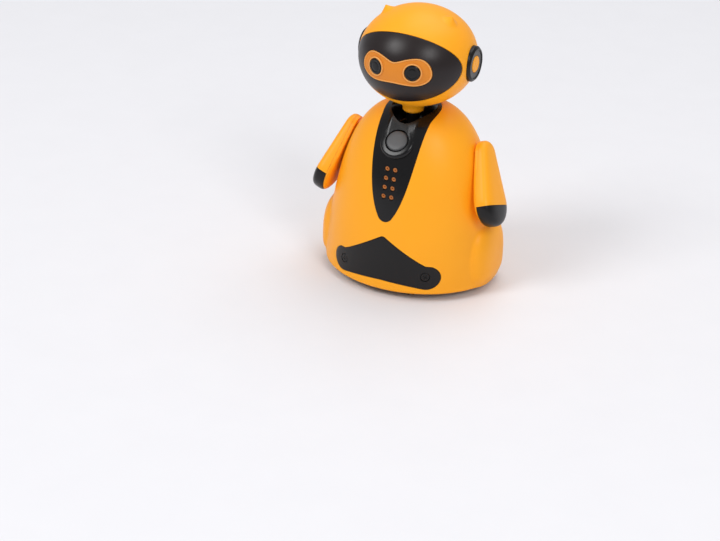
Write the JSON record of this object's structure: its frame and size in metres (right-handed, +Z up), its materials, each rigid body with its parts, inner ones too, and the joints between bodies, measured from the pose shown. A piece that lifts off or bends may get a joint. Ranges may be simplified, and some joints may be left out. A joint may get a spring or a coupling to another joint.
{
  "type": "line-following toy robot",
  "caption": "Bell-bodied line-following toy robot with a turning visored head, swinging arms, a chest button and driven wheels.",
  "frame": {"origin": "on the ground under the middle of the robot", "axes": "+Z up, the face looks along -Y, the robot's left hand is on +X"},
  "size_m": [0.0768, 0.058, 0.105],
  "materials": {
    "orange_plastic": "satin moulded ABS, bright orange",
    "mask_plastic": "satin, darker orange",
    "gloss_black_plastic": "polished black ABS",
    "satin_black_plastic": "satin black ABS",
    "button_plastic": "satin dark grey",
    "tyre_rubber": "matt rubber",
    "gear_plastic": "natural acetal",
    "brass": "machined",
    "steel": "plated",
    "circuit_board": "green solder mask on glass fibre"
  },
  "bodies": {
    "base": {"body_shell": "orange_plastic", "bib_panel": "gloss_black_plastic", "front_plate": "satin_black_plastic", "plate_screw_left": "satin_black_plastic", "plate_screw_right": "satin_black_plastic", "chassis_base": "satin_black_plastic", "battery_door": "satin_black_plastic", "battery_door_screw": "steel", "base_screw_1": "steel", "base_screw_2": "steel", "base_screw_3": "steel", "base_screw_4": "steel", "button_cell_1": "steel", "button_cell_2": "steel", "button_cell_3": "steel", "battery_contact_left": "brass", "battery_contact_right": "brass", "motor_left": "steel", "motor_right": "steel", "motor_clamp": "satin_black_plastic", "main_board": "circuit_board", "board_screw": "steel", "line_sensor_board": "circuit_board", "power_switch": "steel", "roller_axle": "steel", "speaker": "steel", "button_board": "circuit_board", "neck_post": "satin_black_plastic", "neck_screw": "steel"},
    "head": {"head_front_shell": "orange_plastic", "head_rear_shell": "orange_plastic", "visor": "satin_black_plastic", "eye_mask": "mask_plastic", "eye_left": "gloss_black_plastic", "eye_right": "gloss_black_plastic", "ear_disc_left": "satin_black_plastic", "ear_disc_right": "satin_black_plastic", "ear_cap_left": "orange_plastic", "ear_cap_right": "orange_plastic", "eye_led_board": "circuit_board"},
    "mode_button": {"mode_button": "button_plastic"},
    "switch_knob": {"switch_knob": "button_plastic"},
    "arm_left": {"arm_inner_left": "orange_plastic", "arm_outer_left": "orange_plastic", "hand_left": "satin_black_plastic"},
    "wheel_left": {"wheel_hub_left": "gear_plastic", "tyre_left": "tyre_rubber", "wheel_axle_left": "steel", "wheel_gear_left": "gear_plastic"},
    "pinion_left": {"pinion_left": "brass"},
    "front_roller_left": {"front_roller_left": "satin_black_plastic"},
    "arm_right": {"arm_inner_right": "orange_plastic", "arm_outer_right": "orange_plastic", "hand_right": "satin_black_plastic"},
    "wheel_right": {"wheel_hub_right": "gear_plastic", "tyre_right": "tyre_rubber", "wheel_axle_right": "steel", "wheel_gear_right": "gear_plastic"},
    "pinion_right": {"pinion_right": "brass"},
    "front_roller_right": {"front_roller_right": "satin_black_plastic"}
  },
  "joints": [
    {"name": "head_yaw", "type": "hinge", "parent": "base", "child": "head", "pos_m": [0, -0.0047, 0.07], "axis": [0, 0, 1], "range_deg": [-60, 60]},
    {"name": "mode_button_press", "type": "slide", "parent": "base", "child": "mode_button", "axis": [0, 0.7071, -0.7071], "range_m": [0, 0.001], "stiffness_N_per_m": 120},
    {"name": "power_switch_slide", "type": "slide", "parent": "base", "child": "switch_knob", "axis": [0, 1, 0], "range_m": [0, 0.002]},
    {"name": "arm_left_swing", "type": "hinge", "parent": "base", "child": "arm_left", "pos_m": [0.0265, 0.001, 0.0518], "axis": [-0.9259, 0, -0.3778], "range_deg": [-45, 110]},
    {"name": "arm_right_swing", "type": "hinge", "parent": "base", "child": "arm_right", "pos_m": [-0.0265, 0.001, 0.0518], "axis": [-0.9259, 0, 0.3778], "range_deg": [-45, 110]},
    {"name": "wheel_left_spin", "type": "hinge", "parent": "base", "child": "wheel_left", "pos_m": [0.0259, 0.0015, 0.009], "axis": [1, 0, 0], "continuous": true},
    {"name": "pinion_left_spin", "type": "hinge", "parent": "base", "child": "pinion_left", "pos_m": [0.0212, -0.0055, 0.01287], "axis": [1, 0, 0], "continuous": true},
    {"name": "front_roller_left_spin", "type": "hinge", "parent": "base", "child": "front_roller_left", "pos_m": [0.0081, -0.0215, 0.003], "axis": [1, 0, 0], "continuous": true},
    {"name": "wheel_right_spin", "type": "hinge", "parent": "base", "child": "wheel_right", "pos_m": [-0.0259, 0.0015, 0.009], "axis": [1, 0, 0], "continuous": true},
    {"name": "pinion_right_spin", "type": "hinge", "parent": "base", "child": "pinion_right", "pos_m": [-0.0212, -0.0055, 0.01287], "axis": [1, 0, 0], "continuous": true},
    {"name": "front_roller_right_spin", "type": "hinge", "parent": "base", "child": "front_roller_right", "pos_m": [-0.0081, -0.0215, 0.003], "axis": [1, 0, 0], "continuous": true}
  ],
  "couplings": [
    {"joint": "pinion_left_spin", "follows": "wheel_left_spin", "ratio": -3},
    {"joint": "pinion_right_spin", "follows": "wheel_right_spin", "ratio": -3}
  ]
}
